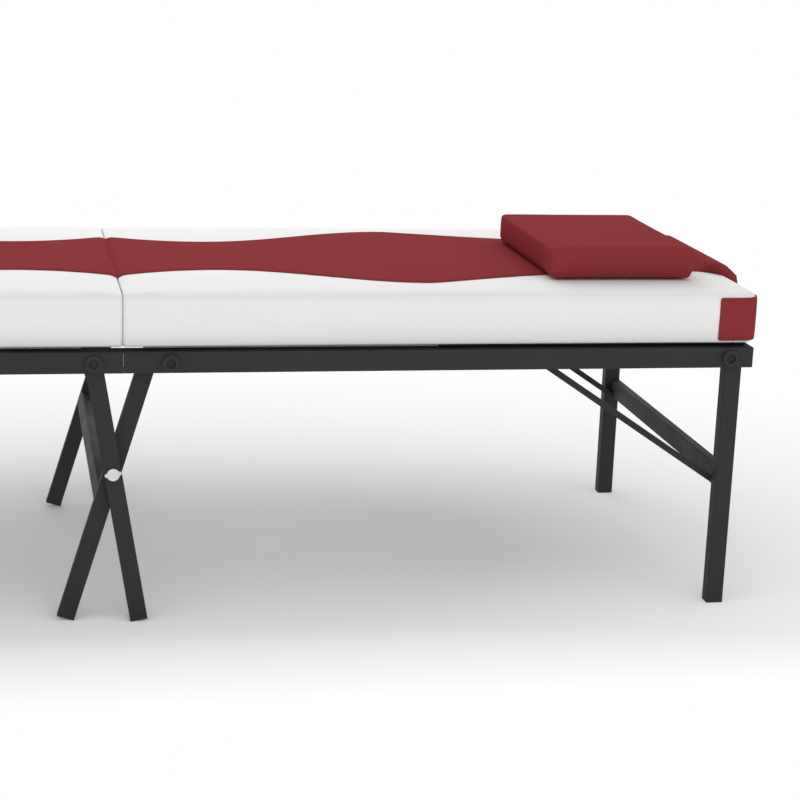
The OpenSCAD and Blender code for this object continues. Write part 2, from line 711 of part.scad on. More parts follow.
foot_half() side_rail(outer_pivot_x);  // foot_rail_near
far_side() foot_half() side_rail(outer_pivot_x);  // foot_rail_far
foot_half() end_rail();  // foot_end_rail
foot_half() slats();  // foot_slats
foot_half() deck_inner(board_start_foot);  // foot_deck_inner
foot_half() deck_outer();  // foot_deck_outer
foot_half() cushion();  // foot_cushion
foot_half() band();  // foot_band
foot_half() corner_patches();  // foot_corner_patches
foot_half() hinge_leaves([0, 2], 0);  // foot_hinge_leaves
fold_pins();  // hinge_pins
foot_half() end_pivots();  // foot_end_pivots
foot_half() outer_pivots();  // outer_leg_pivots
foot_half() brace_guides();  // foot_brace_guides
foot_half() end_leg();  // foot_leg_near
far_side() foot_half() end_leg();  // foot_leg_far
foot_half() leg_heads();  // foot_leg_heads
foot_half() leg_crossbar();  // foot_leg_crossbar
foot_half() leg_plugs();  // foot_leg_plugs
foot_half() brace_pins();  // foot_brace_pins
foot_half() brace();  // foot_brace_near
far_side() foot_half() brace();  // foot_brace_far
foot_half() brace_stiffeners();  // foot_brace_stiffeners
foot_half() brace_sliders();  // foot_brace_sliders
side_rail(bracket_rivet_x);  // head_rail_near
far_side() side_rail(bracket_rivet_x);  // head_rail_far
end_rail();  // head_end_rail
slats();  // head_slats
deck_inner(board_start_head);  // head_deck_inner
deck_outer();  // head_deck_outer
cushion();  // head_cushion
band();  // head_band
corner_patches();  // head_corner_patches
hinge_leaves([1], slide_clear / 2);  // head_hinge_leaves
end_pivots();  // head_end_pivots
leg_brackets();  // inner_leg_brackets
bracket_bolts();  // bracket_rivets
brace_guides();  // head_brace_guides
end_leg();  // head_leg_near
far_side() end_leg();  // head_leg_far
leg_heads();  // head_leg_heads
leg_crossbar();  // head_leg_crossbar
leg_plugs();  // head_leg_plugs
brace_pins();  // head_brace_pins
brace();  // head_brace_near
far_side() brace();  // head_brace_far
brace_stiffeners();  // head_brace_stiffeners
brace_sliders();  // head_brace_sliders
outer_leg();  // outer_x_leg_near
far_side() outer_leg();  // outer_x_leg_far
outer_plugs();  // outer_x_leg_plugs
cross_bolts();  // crossing_bolts
inner_leg();  // inner_x_leg_near
far_side() inner_leg();  // inner_x_leg_far
x_crossbar();  // x_leg_crossbar
inner_plugs();  // inner_x_leg_plugs
cross_nuts();  // crossing_nuts
head_pillow();  // pillow
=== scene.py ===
"""Looks of a folding massage bed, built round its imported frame.

The steel frame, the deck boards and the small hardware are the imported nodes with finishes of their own.
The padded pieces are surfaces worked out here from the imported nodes' boxes, and stand for their plain solids.
Every length is in metres in the frame's own axes: X along the bed, Y across it, Z up from the floor.
"""

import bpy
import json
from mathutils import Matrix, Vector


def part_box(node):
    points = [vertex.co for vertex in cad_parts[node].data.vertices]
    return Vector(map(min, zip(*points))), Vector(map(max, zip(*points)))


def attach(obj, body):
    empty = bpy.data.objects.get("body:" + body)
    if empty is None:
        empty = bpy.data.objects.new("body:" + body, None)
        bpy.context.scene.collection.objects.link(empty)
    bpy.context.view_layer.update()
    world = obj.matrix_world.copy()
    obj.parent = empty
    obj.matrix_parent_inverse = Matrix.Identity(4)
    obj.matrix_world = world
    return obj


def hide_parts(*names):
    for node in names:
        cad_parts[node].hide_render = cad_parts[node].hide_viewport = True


bl_info = {
    "name": "Folding Massage Bed",
    "version": (1, 0, 0),
    "blender": (4, 5, 0),
    "location": "View3D > Sidebar > Massage Bed",
    "description": "Cushions, bands, patches, pillow and finishes of a folding massage bed",
    "category": "Object",
}

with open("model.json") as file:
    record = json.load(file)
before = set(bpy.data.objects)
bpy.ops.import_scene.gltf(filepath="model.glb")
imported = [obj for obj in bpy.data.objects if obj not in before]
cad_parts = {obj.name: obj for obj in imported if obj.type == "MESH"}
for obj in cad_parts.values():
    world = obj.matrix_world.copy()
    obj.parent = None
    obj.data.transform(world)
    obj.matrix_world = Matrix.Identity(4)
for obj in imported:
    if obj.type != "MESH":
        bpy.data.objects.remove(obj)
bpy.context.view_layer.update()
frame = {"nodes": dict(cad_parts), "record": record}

import json
import math

import bmesh
import bpy
import numpy as np
from bpy.props import FloatProperty, FloatVectorProperty, PointerProperty
from bpy.types import Operator, Panel, PropertyGroup
from mathutils import Matrix

HALVES = {"head": 1.0, "foot": -1.0}
CUSHION_LOW, CUSHION_HIGH = (np.array(c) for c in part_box("head_cushion"))
PILLOW_LOW, PILLOW_HIGH = (np.array(c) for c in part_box("pillow"))
BAND_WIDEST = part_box("head_band")[1][1]
RAIL_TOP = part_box("head_rail_near")[1][2]
PATCH_LOW, PATCH_HIGH = (np.array(c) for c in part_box("head_corner_patches"))
SKIN_GAP = 0.0003  # between a sewn panel's lining and the cushion

# Cushions
CROWN_REACH = 0.1  # from the edge in to where the top is flat
FLAT_SPARE = 0.01  # from the last ring of the top to the middle
SPLIT_CORNER = 0.007  # rounding in plan of the corners by the split
WAIST_PULL = 0.002  # how far the long sides draw in
LUMP = 0.0004  # unevenness of the foam
CUSHION_SWELL = 0.5  # share of the swell
BLEND = 0.03  # length over which the swelling fades in beside what holds the cover down
BASE_HELD = 0.012  # height up to which the cover is held
PATCH_HELD, PATCH_BLEND = 0.07, 0.02  # from the bed's end, under the patches
PILLOW_HELD, PILLOW_BLEND = 0.52, 0.06  # shares of the pillow's size, from its middle

# Bands: waist, split, neck and end widths as shares of the widest, and places as shares of the cushion's end
BAND_WIDTHS = (115 / 215, 161 / 215, 120 / 215, 152 / 215)
BAND_WAIST, BAND_BELLY, BAND_NECK = 0.16, 0.484, 0.962
BAND_FOOT = 0.024  # from the cushion's underside up to the band's lower end
ROLL_START, ROLL_RUN = 0.045, 0.03  # from the bed's end to where the band starts to thicken, and over what length
BAND_ROUNDING, ROLL_ROUNDING = 0.0018, 0.25  # of its edges, and what each further length of thickness adds
BAND_GROOVE, BAND_PUFF = 0.0007, 0.0003  # depth of the sewn groove and rise beyond it
BAND_STEP, BAND_COLUMNS = 0.008, 24  # spacing of the points along it and their number across, past the finer ones
BAND_THREAD, BAND_STITCH = 0.00045, 0.72  # thread radius, and a stitch's share of the pitch

# Corner patches
PATCH_ALONG, PATCH_ROUND = 0.063, 0.052  # reach from the corner, on the side and on the end
PATCH_LOWER, PATCH_HIGHER = 0.0015, 0.002  # how far the edges lie past the CAD patch
PATCH_SKIN, PATCH_CORNER = 0.0019, 0.004  # thickness, and rounding of its corners
PATCH_EDGE = 0.0009  # rounding of its edges
PATCH_SEAM, PATCH_GROOVE, PATCH_PUFF = 0.003, 0.0004, 0.0004  # distance of the seam, its depth and the rise past it
PATCH_PITCH, PATCH_STITCH, PATCH_THREAD = 0.004, 0.0029, 0.00035  # stitch to stitch, stitch, and thread radius
PATCH_STEP, SEAM_ROW = 0.003, 7  # spacing of its points, and the row of them that the stitches follow

# Pillow
PILLOW_CROWN, PILLOW_REACH = 0.0015, 0.05  # rise of its top, and from the edge in to where that is flat
PILLOW_CORNER, PILLOW_PULL = 0.01, 0.0015  # rounding in plan, and how far the long sides draw in
PILLOW_BORDER = 0.012  # width round the sides that the seams pull in
PILLOW_SEAM = 0.006  # from its top, and from its underside
PILLOW_GROOVE, GROOVE_WIDTH = 0.0006, 0.0012  # depth and half width of a seam
DROOP_RUN = 0.012  # from the band's edge to where the underside has drooped
PILLOW_SWELL = 0.3  # share of the swell

# Stage
FLOOR_REACH = 14.0  # from the middle of the floor to its sides
FLOOR_FADE = (0.35, 1.25)  # radii between which the floor fades to white
FLOOR_SQUEEZE = 0.55  # share of X that counts in them, so that the fade is wider along the bed
FRONT_FADE = (-0.6, -0.33)  # Y where the floor is white and where it isn't yet


class MassageBedSizes(PropertyGroup):
    """Lengths that shape the padded pieces."""
    edge_radius: FloatProperty(name="Top edge radius", description="Rounding of the cushion's top edge",
                               default=0.011, min=0.005, unit="LENGTH")
    base_radius: FloatProperty(name="Bottom edge radius", description="Rounding of the cushion's bottom edge",
                               default=0.003, min=0.001, unit="LENGTH")
    corner_radius: FloatProperty(name="Corner radius", description="Rounding of the cushion's outer corners in plan",
                                 default=0.025, min=0.005, unit="LENGTH")
    split_share: FloatProperty(name="Split share", description="Rounding by the split as a share of the other edges'",
                               default=0.14, min=0.05, max=1.0)
    crown: FloatProperty(name="Crown", description="Rise of the cushion's top towards its middle",
                         default=0.003, min=0.0, unit="LENGTH")
    band_thickness: FloatProperty(name="Band thickness", description="Height of the red panel above the cushion",
                                  default=0.0026, min=0.001, unit="LENGTH")
    roll_thickness: FloatProperty(name="End roll thickness", description="Height of the band on the bed's end",
                                  default=0.0165, min=0.004, unit="LENGTH")
    seam_inset: FloatProperty(name="Seam inset", description="Distance of the stitching from an edge",
                              default=0.0065, min=0.002, unit="LENGTH")
    stitch_pitch: FloatProperty(name="Stitch pitch", description="Length from one stitch to the next",
                                default=0.0055, min=0.002, unit="LENGTH")
    pillow_edge: FloatProperty(name="Pillow edge radius", description="Rounding of the pillow's edges",
                               default=0.0055, min=0.002, unit="LENGTH")
    pillow_rest: FloatProperty(name="Pillow rest", description="Gap under the pillow over the band's top",
                               default=0.0005, min=0.0, unit="LENGTH")
    droop: FloatProperty(name="Pillow droop", description="How far the pillow's free edges sink beside the band",
                         default=0.0008, min=0.0, unit="LENGTH")
    swell: FloatProperty(name="Swell", description="How far simulated vinyl may move from its cut shape",
                         default=0.004, min=0.0, unit="LENGTH")


class MassageBedColours(PropertyGroup):
    """Colours of the finishes."""
    white_vinyl: FloatVectorProperty(name="White vinyl", description="Cushion cover", subtype="COLOR",
                                     default=(0.84, 0.84, 0.835), min=0, max=1)
    red_vinyl: FloatVectorProperty(name="Red vinyl", description="Band, patches and pillow", subtype="COLOR",
                                   default=(0.254, 0.0355, 0.0395), min=0, max=1)
    frame_paint: FloatVectorProperty(name="Frame paint", description="Powder coat of the steel",
                                     subtype="COLOR", default=(0.0285, 0.0285, 0.029), min=0, max=1)
    grey_board: FloatVectorProperty(name="Grey board", description="Deck board by the split", subtype="COLOR",
                                    default=(0.42, 0.42, 0.415), min=0, max=1)
    black_board: FloatVectorProperty(name="Black board", description="Deck board by the bed's end",
                                     subtype="COLOR", default=(0.012, 0.012, 0.0125), min=0, max=1)
    zinc: FloatVectorProperty(name="Zinc", description="Plated hardware", subtype="COLOR",
                              default=(0.72, 0.74, 0.76), min=0, max=1)


def settings(context):
    """The scene's sizes and colours."""
    return context.scene.massage_bed_sizes, context.scene.massage_bed_colours


def new_group(name, inputs, outputs):
    """An empty shader node group with the sockets named in inputs and outputs, and its input and output nodes."""
    group = bpy.data.node_groups.new(name, "ShaderNodeTree")
    for socket, kind, value in inputs:
        made = group.interface.new_socket(name=socket, in_out="INPUT", socket_type=kind)
        if value is not None:
            made.default_value = value
    for socket, kind in outputs:
        group.interface.new_socket(name=socket, in_out="OUTPUT", socket_type=kind)
    return group, group.nodes.new("NodeGroupInput"), group.nodes.new("NodeGroupOutput")


def add(tree, kind, x, y, **values):
    """A node of that kind at (x, y), with its properties and its input sockets set by name."""
    node = tree.nodes.new(kind)
    node.location = (x, y)
    for key, value in values.items():
        if hasattr(node, key):
            setattr(node, key, value)
        else:
            node.inputs[key.replace("_", " ")].default_value = value
    return node


def maths(tree, operation, a, b, x=0, y=0):
    """A Math node fed by a and b, each a socket or a number."""
    node = tree.nodes.new("ShaderNodeMath")
    node.operation, node.location = operation, (x, y)
    for i, value in enumerate((a, b)):
        if isinstance(value, (int, float)):
            node.inputs[i].default_value = value
        else:
            tree.links.new(value, node.inputs[i])
    return node.outputs[0]


def mix_colour(tree, factor, a, b, x=0, y=0):
    """A colour Mix node; factor is a socket, and a and b are sockets or colours."""
    node = tree.nodes.new("ShaderNodeMix")
    node.data_type, node.location = "RGBA", (x, y)
    for socket, value in ((node.inputs[0], factor), (node.inputs[6], a), (node.inputs[7], b)):
        if isinstance(value, tuple):
            socket.default_value = (*value, 1.0)
        else:
            tree.links.new(value, socket)
    return node.outputs[2]


def spread(tree, value, low, high, to_low, to_high, x=0, y=0):
    """Map Range: value from low..high to to_low..to_high, clamped."""
    node = tree.nodes.new("ShaderNodeMapRange")
    node.location = (x, y)
    tree.links.new(value, node.inputs[0])
    for i, v in enumerate((low, high, to_low, to_high), 1):
        node.inputs[i].default_value = v
    return node.outputs[0]


def texture(tree, kind, vector, x, y, **values):
    """A texture node of that kind, read at a vector."""
    node = add(tree, "ShaderNodeTex" + kind, x, y, **values)
    tree.links.new(vector, node.inputs["Vector"])
    return node


def stretched(tree, vector, scale, x, y):
    """The vector with each of its parts multiplied by the scale's."""
    node = add(tree, "ShaderNodeMapping", x, y, Scale=scale)
    tree.links.new(vector, node.inputs["Vector"])
    return node.outputs[0]


def part(tree, vector, axis, x, y):
    """The X, Y or Z of a vector."""
    node = add(tree, "ShaderNodeSeparateXYZ", x, y)
    tree.links.new(vector, node.inputs[0])
    return node.outputs[axis]


def vinyl_grain_group():
    """Embossed upholstery grain. Rounded cells, about Cells per metre, each with a raised middle and a fine crease
    between it and the next, over slow ripples of the cloth backing. Puts out a height, a tone and a crease mask."""
    group, start, end = new_group(
        "Vinyl Grain", [("Vector", "NodeSocketVector", None), ("Cells", "NodeSocketFloat", 620.0)],
        [("Height", "NodeSocketFloat"), ("Tone", "NodeSocketFloat"), ("Crease", "NodeSocketFloat")])
    vector = start.outputs["Vector"]
    warp = texture(group, "Noise", vector, -700, -200, Scale=90.0, Detail=2.0)
    offset = add(group, "ShaderNodeVectorMath", -520, -200, operation="SCALE", Scale=0.0016)
    group.links.new(warp.outputs["Color"], offset.inputs[0])
    place = add(group, "ShaderNodeVectorMath", -340, -100, operation="ADD")
    group.links.new(vector, place.inputs[0])
    group.links.new(offset.outputs[0], place.inputs[1])
    cells = texture(group, "Voronoi", place.outputs[0], -160, 100, feature="DISTANCE_TO_EDGE", Randomness=0.9)
    group.links.new(start.outputs["Cells"], cells.inputs["Scale"])
    dome = spread(group, cells.outputs["Distance"], 0.0, 0.32, 0.0, 1.0, 20, 100)
    dome = maths(group, "POWER", dome, 0.6, 200, 100)
    ripple = texture(group, "Noise", vector, -160, -200, Scale=26.0, Detail=3.0, Roughness=0.55)
    slow = texture(group, "Noise", vector, -160, -420, Scale=5.5, Detail=4.0, Roughness=0.6)
    height = maths(group, "MULTIPLY", dome, 0.55, 380, 100)
    height = maths(group, "ADD", height, maths(group, "MULTIPLY", ripple.outputs["Fac"], 1.2, 200, -100), 540, 60)
    group.links.new(height, end.inputs["Height"])
    group.links.new(slow.outputs["Fac"], end.inputs["Tone"])
    group.links.new(maths(group, "SUBTRACT", 1.0, dome, 380, -100), end.inputs["Crease"])
    return group


def scuff_group():
    """Handling marks on paint, plastic or plating. Slow patches of rub, short scratches that run along X and a fine
    speckle of dust, each a mask from 0 to 1."""
    group, start, end = new_group(
        "Handling Marks", [("Vector", "NodeSocketVector", None), ("Amount", "NodeSocketFloat", 0.5)],
        [("Rub", "NodeSocketFloat"), ("Scratch", "NodeSocketFloat"), ("Dust", "NodeSocketFloat")])
    vector = start.outputs["Vector"]
    rub = texture(group, "Noise", vector, -500, 200, Scale=11.0, Detail=6.0, Roughness=0.65)
    lines = texture(group, "Noise", stretched(group, vector, (18.0, 420.0, 420.0), -700, -50), -500, -50,
                    Scale=1.0, Detail=2.0)
    speck = texture(group, "Noise", vector, -500, -300, Scale=900.0, Detail=2.0)
    for mark, noise, low, high, y in (("Rub", rub, 0.45, 0.75, 200), ("Scratch", lines, 0.68, 0.74, -50),
                                      ("Dust", speck, 0.6, 0.75, -300)):
        mask = spread(group, noise.outputs["Fac"], low, high, 0.0, 1.0, -300, y)
        group.links.new(maths(group, "MULTIPLY", mask, start.outputs["Amount"], -100, y), end.inputs[mark])
    return group


def powder_coat_group():
    """Powder coat skin: a fine orange peel of about 1.2 mm over waves of about 5 mm. Puts out a height."""
    group, start, end = new_group("Powder Coat", [("Vector", "NodeSocketVector", None)],
                                  [("Height", "NodeSocketFloat")])
    peel = texture(group, "Noise", start.outputs["Vector"], -300, 100, Scale=850.0, Detail=2.0, Roughness=0.4)
    wave = texture(group, "Noise", start.outputs["Vector"], -300, -150, Scale=210.0, Detail=1.0)
    group.links.new(maths(group, "ADD", peel.outputs["Fac"], wave.outputs["Fac"]), end.inputs["Height"])
    return group


def shared_group(name, maker):
    """The node group of that name, made by maker on first use."""
    return bpy.data.node_groups.get(name) or maker()


def new_material(name):
    """A material with its Principled shader, output, and object coordinates."""
    material = bpy.data.materials.new(name)
    material.use_nodes = True
    tree = material.node_tree
    tree.nodes.clear()
    out = add(tree, "ShaderNodeOutputMaterial", 900, 0)
    shader = add(tree, "ShaderNodeBsdfPrincipled", 600, 0)
    tree.links.new(shader.outputs[0], out.inputs[0])
    place = add(tree, "ShaderNodeTexCoord", -1100, 0)
    return material, tree, shader, place.outputs["Object"]


def use_group(tree, group, vector, x=-700, y=0, **values):
    """A group node fed by a vector, with its other input sockets set by name."""
    node = tree.nodes.new("ShaderNodeGroup")
    node.node_tree, node.location = group, (x, y)
    tree.links.new(vector, node.inputs["Vector"])
    for key, value in values.items():
        node.inputs[key].default_value = value
    return node


def dress(tree, shader, height, distance, strength, **inputs):
    """Feeds a height into the shader's normal, and each input that is named with a socket or a number."""
    node = add(tree, "ShaderNodeBump", 380, -300, Strength=strength, Distance=distance)
    tree.links.new(height, node.inputs["Height"])
    tree.links.new(node.outputs[0], shader.inputs["Normal"])
    for name, value in inputs.items():
        if isinstance(value, float):
            shader.inputs[name.replace("_", " ")].default_value = value
        else:
            tree.links.new(value, shader.inputs[name.replace("_", " ")])


def shade(colour, factor):
    """The colour made lighter or darker by a factor, no part of it above 1."""
    return tuple(min(1.0, c * factor) for c in colour)


def vinyl(name, colour, roughness, cells, depth, tone=0.05, gloss=0.1):
    """Upholstery vinyl: its colour varies slowly over the piece, carries a little painted shade in the creases of the
    grain, and is rougher there than on the rubbed tops of the cells."""
    material, tree, shader, place = new_material(name)
    grain = use_group(tree, shared_group("Vinyl Grain", vinyl_grain_group), place, Cells=cells)
    marks = use_group(tree, shared_group("Handling Marks", scuff_group), place, y=-350, Amount=0.35)
    warm = mix_colour(tree, grain.outputs["Tone"], shade(colour, 1 - tone), shade(colour, 1 + tone), x=-200, y=200)
    # Painted shade: the creases of the grain are darkened towards 0.62 of the colour.
    crease_painted_shade = maths(tree, "MULTIPLY", grain.outputs["Crease"], 0.10, -200, 0)
    base = mix_colour(tree, crease_painted_shade, warm, shade(colour, 0.62), x=50, y=200)
    rough = spread(tree, grain.outputs["Crease"], 0.0, 1.0, roughness - 0.05, roughness + 0.12, -200, -150)
    rough = maths(tree, "SUBTRACT", rough, maths(tree, "MULTIPLY", marks.outputs["Rub"], 0.12, -200, -350), 50, -200)
    dress(tree, shader, grain.outputs["Height"], depth, 0.55, Base_Color=base, Roughness=rough,
          Specular_IOR_Level=gloss)
    return material


def thread(name, colour):
    """Twisted sewing thread: fine slanted turns, with painted highlight on their tops and painted shade between them.
    """
    material, tree, shader, place = new_material(name)
    turns = texture(tree, "Wave", place, -500, 0, bands_direction="DIAGONAL", Scale=900.0, Distortion=1.5)
    # Painted highlight and shade: the wave makes the turns' tops lighter and the dips between them darker.
    base = mix_colour(tree, turns.outputs["Fac"], shade(colour, 0.7), shade(colour, 1.15), x=0, y=100)
    dress(tree, shader, turns.outputs["Fac"], 0.0001, 0.6, Base_Color=base, Roughness=0.7)
    return material


def painted_steel(name, colour, ledge_height):
    """Satin powder coat over steel: orange peel, rubbed patches that shine more, pale dust and hairline scratches.
    Faces that look up at ledge_height or above are the rail's tops, darkened almost to black by painted shade that
    stands in for the cushion's shadow."""
    material, tree, shader, place = new_material(name)
    coat = use_group(tree, shared_group("Powder Coat", powder_coat_group), place)
    marks = use_group(tree, shared_group("Handling Marks", scuff_group), place, y=-350, Amount=0.5)
    base = mix_colour(tree, maths(tree, "MULTIPLY", marks.outputs["Rub"], 0.5, -300, 200), colour,
                      shade(colour, 1.35), x=-100, y=250)
    dusty = mix_colour(tree, maths(tree, "MULTIPLY", marks.outputs["Dust"], 0.07, -300, 0), base,
                       (0.3, 0.3, 0.29), x=80, y=200)
    worn = mix_colour(tree, maths(tree, "MULTIPLY", marks.outputs["Scratch"], 0.2, -300, -100), dusty,
                      (0.16, 0.16, 0.165), x=260, y=200)
    # Painted shade: upward faces at the rail's top are darkened towards black, standing in for the cushion's shadow.
    facing_up = part(tree, add(tree, "ShaderNodeNewGeometry", -700, 500).outputs["Normal"], "Z", -500, 500)
    rail_top_painted_shade = maths(tree, "MULTIPLY", spread(tree, facing_up, 0.8, 0.95, 0.0, 0.85, -300, 500),
                  spread(tree, part(tree, place, "Z", -500, 350), ledge_height - 0.001, ledge_height, 0.0, 1.0,
                         -300, 350))
    shown = mix_colour(tree, rail_top_painted_shade, worn, shade(colour, 0.1), x=420, y=200)
    rough = spread(tree, marks.outputs["Rub"], 0.0, 0.5, 0.62, 0.5, -100, -150)
    dress(tree, shader, coat.outputs["Height"], 0.00008, 0.5, Base_Color=shown, Roughness=rough,
          Specular_IOR_Level=0.15)
    return material


def faced_board(name, colour, fleck):
    """Hardboard with a printed face: short fibres lie in the sheet, and the tone drifts slowly."""
    material, tree, shader, place = new_material(name)
    fibre = texture(tree, "Noise", stretched(tree, place, (90.0, 700.0, 700.0), -900, 100), -700, 100,
                    Scale=1.0, Detail=5.0, Roughness=0.7)
    slow = texture(tree, "Noise", place, -700, -150, Scale=6.0, Detail=3.0)
    marks = spread(tree, fibre.outputs["Fac"], 0.5, 0.72, 0.0, 0.6, -450, 100)
    base = mix_colour(tree, slow.outputs["Fac"], shade(colour, 0.93), shade(colour, 1.06), x=-200, y=150)
    flecked = mix_colour(tree, marks, base, fleck, x=0, y=150)
    rough = spread(tree, fibre.outputs["Fac"], 0.3, 0.7, 0.55, 0.8, -200, -100)
    dress(tree, shader, fibre.outputs["Fac"], 0.00015, 0.5, Base_Color=flecked, Roughness=rough)
    return material


def zinc_plate(name, colour):
    """Bright zinc on steel: a spangle of soft grey crystals, the paler ones rougher, under dull rubbed patches."""
    material, tree, shader, place = new_material(name)
    spangle = texture(tree, "Voronoi", place, -600, 150, Scale=700.0)
    tone = add(tree, "ShaderNodeSeparateColor", -420, 150)
    tree.links.new(spangle.outputs["Color"], tone.inputs[0])
    marks = use_group(tree, shared_group("Handling Marks", scuff_group), place, y=-200, Amount=0.6)
    base = mix_colour(tree, tone.outputs[0], shade(colour, 0.86), colour, x=-200, y=150)
    dull = mix_colour(tree, marks.outputs["Rub"], base, shade(colour, 0.6), x=0, y=150)
    rough = spread(tree, tone.outputs[0], 0.0, 1.0, 0.24, 0.36, -200, -50)
    dress(tree, shader, tone.outputs[0], 0.00003, 0.4, Base_Color=dull, Roughness=rough, Metallic=1.0)
    return material


def moulded_plastic(name, colour):
    """Moulded plastic: a spark-eroded texture, rubbed in patches and dusty where it meets the floor."""
    material, tree, shader, place = new_material(name)
    skin = texture(tree, "Noise", place, -600, 100, Scale=1300.0, Detail=3.0)
    marks = use_group(tree, shared_group("Handling Marks", scuff_group), place, y=-200, Amount=0.8)
    low = spread(tree, part(tree, place, "Z", -800, -450), 0.0, 0.002, 0.8, 0.0, -600, -450)
    grey = mix_colour(tree, maths(tree, "MULTIPLY", marks.outputs["Rub"], 0.3), colour, shade(colour, 2.2), y=200)
    scuffed = mix_colour(tree, maths(tree, "MULTIPLY", low, marks.outputs["Dust"], -300, -300), grey,
                         (0.2, 0.2, 0.19), x=150, y=200)
    rough = spread(tree, skin.outputs["Fac"], 0.3, 0.7, 0.5, 0.65, -200, -50)
    dress(tree, shader, skin.outputs["Fac"], 0.00008, 0.5, Base_Color=scuffed, Roughness=rough)
    return material


NODE_FINISHES = {
    # The frame's rail tops, from half a millimetre under RAIL_TOP up, carry painted shade.
    "frame_paint": lambda c: painted_steel("Frame Powder Coat", tuple(c.frame_paint), RAIL_TOP - 0.0005),
    "grey_board": lambda c: faced_board("Grey Faced Board", tuple(c.grey_board), (0.55, 0.54, 0.52)),
    "black_board": lambda c: faced_board("Black Faced Board", tuple(c.black_board), (0.03, 0.03, 0.03)),
    "white_vinyl": lambda c: vinyl("White Cushion Vinyl", tuple(c.white_vinyl), 0.66, 640.0, 0.00025, 0.012),
    "red_vinyl": lambda c: vinyl("Red Band Vinyl", tuple(c.red_vinyl), 0.8, 620.0, 0.00025, 0.05, 0.005),
    "pillow_vinyl": lambda c: vinyl("Red Pillow Vinyl", tuple(c.red_vinyl), 0.8, 620.0, 0.00025, 0.05, 0.005),
    "black_plastic": lambda c: moulded_plastic("Black Plug Plastic", (0.014, 0.014, 0.014)),
    "zinc_steel": lambda c: zinc_plate("Bright Zinc Plate", tuple(c.zinc)),
}


def ramp(value, start, run):
    """0 up to start, 1 from start + run on, and straight between."""
    return np.clip((value - start) / run, 0, 1)


def smooth_piece(name, points, faces, material, weld=0.0):
    """A mesh object at the origin from an array of points and lists of faces. weld merges points that close."""
    mesh = bpy.data.meshes.new(name)
    mesh.from_pydata(np.asarray(points, float).tolist(), [], faces)
    if weld:
        work = bmesh.new()
        work.from_mesh(mesh)
        bmesh.ops.remove_doubles(work, verts=work.verts, dist=weld)
        bmesh.ops.recalc_face_normals(work, faces=work.faces)
        work.to_mesh(mesh)
        work.free()
    mesh.validate()
    mesh.polygons.foreach_set("use_smooth", np.ones(len(mesh.polygons), bool))
    mesh.materials.append(material)
    piece = bpy.data.objects.new(name, mesh)
    bpy.context.scene.collection.objects.link(piece)
    return piece


def grid_faces(rows, columns, closed, first=0, flip=False):
    """Quads between neighbours of a rows by columns grid whose points start at first."""
    j, i = np.meshgrid(np.arange(rows - 1), np.arange(columns if closed else columns - 1), indexing="ij")
    k = (i + 1) % columns
    quads = np.stack([j * columns + i, j * columns + k, (j + 1) * columns + k, (j + 1) * columns + i], -1)
    quads = quads.reshape(-1, 4) + first
    return (quads[:, ::-1] if flip else quads).tolist()


def arc_angles(start, stop, count):
    """Angles in radians from start to stop degrees, in count steps."""
    return np.radians(np.linspace(start, stop, count + 1))


def pad_plan(x0, x1, half, inset, share, r0, r1, pull, counts):
    """Plan rings of a pad. For each inset the outline is a rectangle from x0 + share * inset to x1 - inset and
    half - inset to each side, with rounded corners that shrink with the inset; the long sides curve in by pull
    times the sine of the way along. Counter-clockwise from the near corner at x0. Returns X and Y, one row a ring."""
    d = np.asarray(inset, float)[:, None]
    xa, xb, h = x0 + share * d, x1 - d, half - d
    ra, rb = np.maximum(r0 - share * d, 0.004), np.maximum(r1 - d, 0.004)
    arcs, long_side, short_side = counts
    a, b = arc_angles(180, 270, arcs)[None, :], arc_angles(270, 360, arcs)[None, :]
    t = np.linspace(0, 1, long_side + 1)[None, 1:-1]
    u = np.linspace(-1, 1, short_side + 1)[None, 1:-1]
    near_x = np.hstack([xa + ra + ra * np.cos(a), xa + ra + (xb - rb - xa - ra) * t, xb - rb + rb * np.cos(b)])
    near_y = np.hstack([ra - h + ra * np.sin(a), -(h - pull * np.sin(np.pi * t)), rb - h + rb * np.sin(b)])
    x = np.hstack([near_x, xb + 0 * u, near_x[:, ::-1], xa + 0 * u])
    y = np.hstack([near_y, (h - rb) * u, -near_y[:, ::-1], -(h - ra) * u])
    return x, y


def pad_profile(thick, base_r, edge_r, crown, reach, last, steps):
    """Section of a pad: a quarter circle of base_r, the upright side, a quarter circle of edge_r, then a parabola
    that rises by crown until the inset is reach, and flat to the inset last. Returns insets and heights."""
    a = np.linspace(0, np.pi / 2, steps + 1)
    shoulder = thick - crown - edge_r
    side = np.linspace(base_r, shoulder, max(3, int((shoulder - base_r) / 0.006)))[1:-1]
    s = np.linspace(0, 1, steps + 1)[1:]
    flat = np.linspace(reach, last, max(3, int((last - reach) / 0.012)))[1:]
    inset = np.concatenate([base_r * (1 - np.sin(a)), 0 * side, edge_r * (1 - np.cos(a)),
                            edge_r + (reach - edge_r) * s, flat])
    height = np.concatenate([base_r * (1 - np.cos(a)), side, shoulder + edge_r * np.sin(a),
                             thick - crown * (1 - s) ** 2, thick + 0 * flat])
    return inset, height


def capped_faces(rows, columns):
    """The quads of a closed grid and a face over its first and last ring."""
    last = (rows - 1) * columns
    return grid_faces(rows, columns, True) + [list(range(columns))[::-1], list(range(last, last + columns))]


